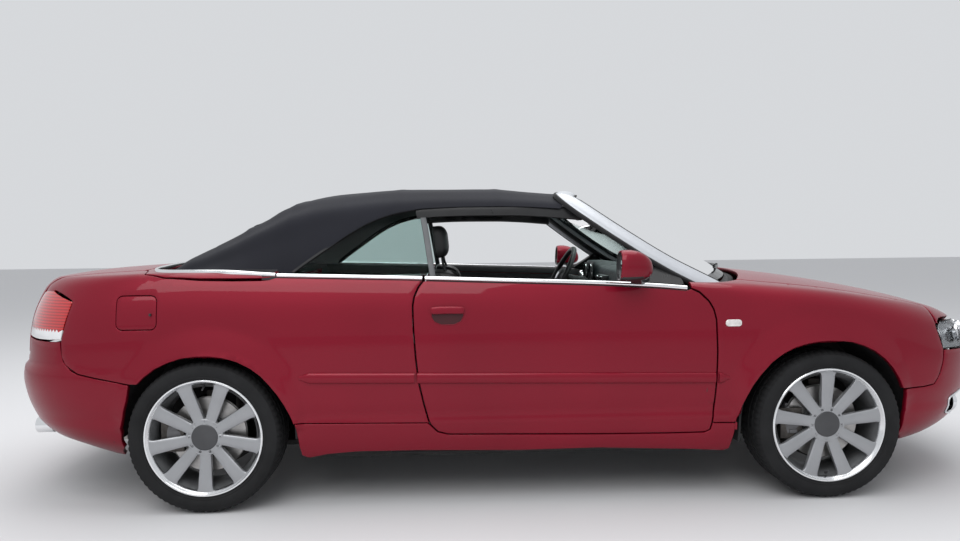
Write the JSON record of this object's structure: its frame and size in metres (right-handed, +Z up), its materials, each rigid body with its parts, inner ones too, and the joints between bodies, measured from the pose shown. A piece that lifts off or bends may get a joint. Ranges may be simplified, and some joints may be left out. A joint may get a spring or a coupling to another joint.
{
  "type": "convertible car",
  "caption": "Open-top road car with a closed fabric roof, hinged doors, bonnet, boot lid and fuel flap, working steering and rolling wheels.",
  "frame": {"origin": "on the ground under the centre of the car's box", "axes": "+X to the front of the car, +Y to its left, +Z up"},
  "size_m": [4.572, 2, 1.3909],
  "materials": {
    "paint": "metallic gloss",
    "black_fabric": "woven",
    "seat_leather": "grained",
    "glass": "polished",
    "red_lens": "clear gloss",
    "clear_lens": "clear",
    "black_plastic": "grained",
    "gloss_black": "gloss",
    "dash_plastic": "soft grained",
    "satin_metal": "satin",
    "alloy": "silver lacquer",
    "tyre": "matt rubber",
    "disc_iron": "machined",
    "iron": "cast",
    "exhaust_steel": "brushed",
    "mirror_shell": "metallic gloss",
    "body_steel": "primed and painted"
  },
  "bodies": {
    "body": {"headlamps": "clear_lens", "tail_lamps": "red_lens", "front_bumper": "paint", "grille": "black_plastic", "rear_bumper": "paint", "front_wings": "paint", "tonneau_cover": "paint", "rear_quarters": "paint", "fuel_filler": "black_plastic", "floor_pan": "body_steel", "sills": "paint", "firewall": "body_steel", "rear_side_panels": "black_plastic", "rear_bulkhead": "body_steel", "boot_floor": "body_steel", "front_arch_liners": "black_plastic", "rear_arch_liners": "black_plastic", "front_frame": "body_steel", "engine_block": "iron", "soft_top": "black_fabric", "rear_window": "glass", "windscreen_frame": "satin_metal", "windscreen": "glass", "cowl": "black_plastic", "wipers": "black_plastic", "quarter_windows": "glass", "dashboard": "dash_plastic", "centre_console": "black_plastic", "front_seats": "seat_leather", "rear_seat": "seat_leather", "interior_mirror": "gloss_black", "steering_column": "black_plastic", "rear_hub_carriers": "iron", "front_suspension": "iron", "rear_suspension": "iron", "exhaust": "exhaust_steel"},
    "door_right": {"door_right": "paint", "mirror_right": "mirror_shell"},
    "door_left": {"door_left": "paint", "mirror_left": "mirror_shell"},
    "bonnet": {"bonnet": "paint"},
    "boot_lid": {"boot_lid": "paint"},
    "fuel_flap": {"fuel_flap": "paint"},
    "steering_wheel": {"steering_wheel": "black_plastic"},
    "knuckle_right": {"knuckle_right": "iron"},
    "knuckle_left": {"knuckle_left": "iron"},
    "wheel_front_right": {"tyre_front_right": "tyre", "rim_front_right": "alloy", "brake_disc_front_right": "disc_iron"},
    "wheel_front_left": {"tyre_front_left": "tyre", "rim_front_left": "alloy", "brake_disc_front_left": "disc_iron"},
    "wheel_rear_right": {"tyre_rear_right": "tyre", "rim_rear_right": "alloy", "brake_disc_rear_right": "disc_iron"},
    "wheel_rear_left": {"tyre_rear_left": "tyre", "rim_rear_left": "alloy", "brake_disc_rear_left": "disc_iron"}
  },
  "joints": [
    {"name": "door_right_hinge", "type": "hinge", "parent": "body", "child": "door_right", "pos_m": [0.831, -0.864, 0.6], "axis": [0, 0, 1], "range_deg": [0, 60]},
    {"name": "door_left_hinge", "type": "hinge", "parent": "body", "child": "door_left", "pos_m": [0.831, 0.864, 0.6], "axis": [0, 0, -1], "range_deg": [0, 60]},
    {"name": "bonnet_hinge", "type": "hinge", "parent": "body", "child": "bonnet", "pos_m": [0.984, 0, 0.895], "axis": [0, -1, 0], "range_deg": [0, 50]},
    {"name": "boot_lid_hinge", "type": "hinge", "parent": "body", "child": "boot_lid", "pos_m": [-1.668, 0, 1.004], "axis": [0, 1, 0], "range_deg": [0, 70]},
    {"name": "fuel_flap_hinge", "type": "hinge", "parent": "body", "child": "fuel_flap", "pos_m": [-1.497, -0.8685, 0.838], "axis": [0, 0, 1], "range_deg": [0, 85]},
    {"name": "steering_wheel_turn", "type": "hinge", "parent": "body", "child": "steering_wheel", "pos_m": [0.374, 0.37, 0.908], "axis": [-0.8829, 0, 0.4695], "range_deg": [-510, 510]},
    {"name": "steer_left", "type": "hinge", "parent": "body", "child": "knuckle_left", "pos_m": [1.361, 0.7005, 0.318], "axis": [0, 0, 1], "range_deg": [-34, 34]},
    {"name": "steer_right", "type": "hinge", "parent": "body", "child": "knuckle_right", "pos_m": [1.361, -0.7005, 0.318], "axis": [0, 0, 1], "range_deg": [-34, 34]},
    {"name": "wheel_front_right_spin", "type": "hinge", "parent": "knuckle_right", "child": "wheel_front_right", "pos_m": [1.361, -0.7615, 0.318], "axis": [0, 1, 0], "continuous": true},
    {"name": "wheel_front_left_spin", "type": "hinge", "parent": "knuckle_left", "child": "wheel_front_left", "pos_m": [1.361, 0.7615, 0.318], "axis": [0, 1, 0], "continuous": true},
    {"name": "wheel_rear_right_spin", "type": "hinge", "parent": "body", "child": "wheel_rear_right", "pos_m": [-1.293, -0.7615, 0.318], "axis": [0, 1, 0], "continuous": true},
    {"name": "wheel_rear_left_spin", "type": "hinge", "parent": "body", "child": "wheel_rear_left", "pos_m": [-1.293, 0.7615, 0.318], "axis": [0, 1, 0], "continuous": true}
  ],
  "couplings": [
    {"joint": "steer_right", "follows": "steer_left", "ratio": 1},
    {"joint": "steering_wheel_turn", "follows": "steer_left", "ratio": 15}
  ]
}
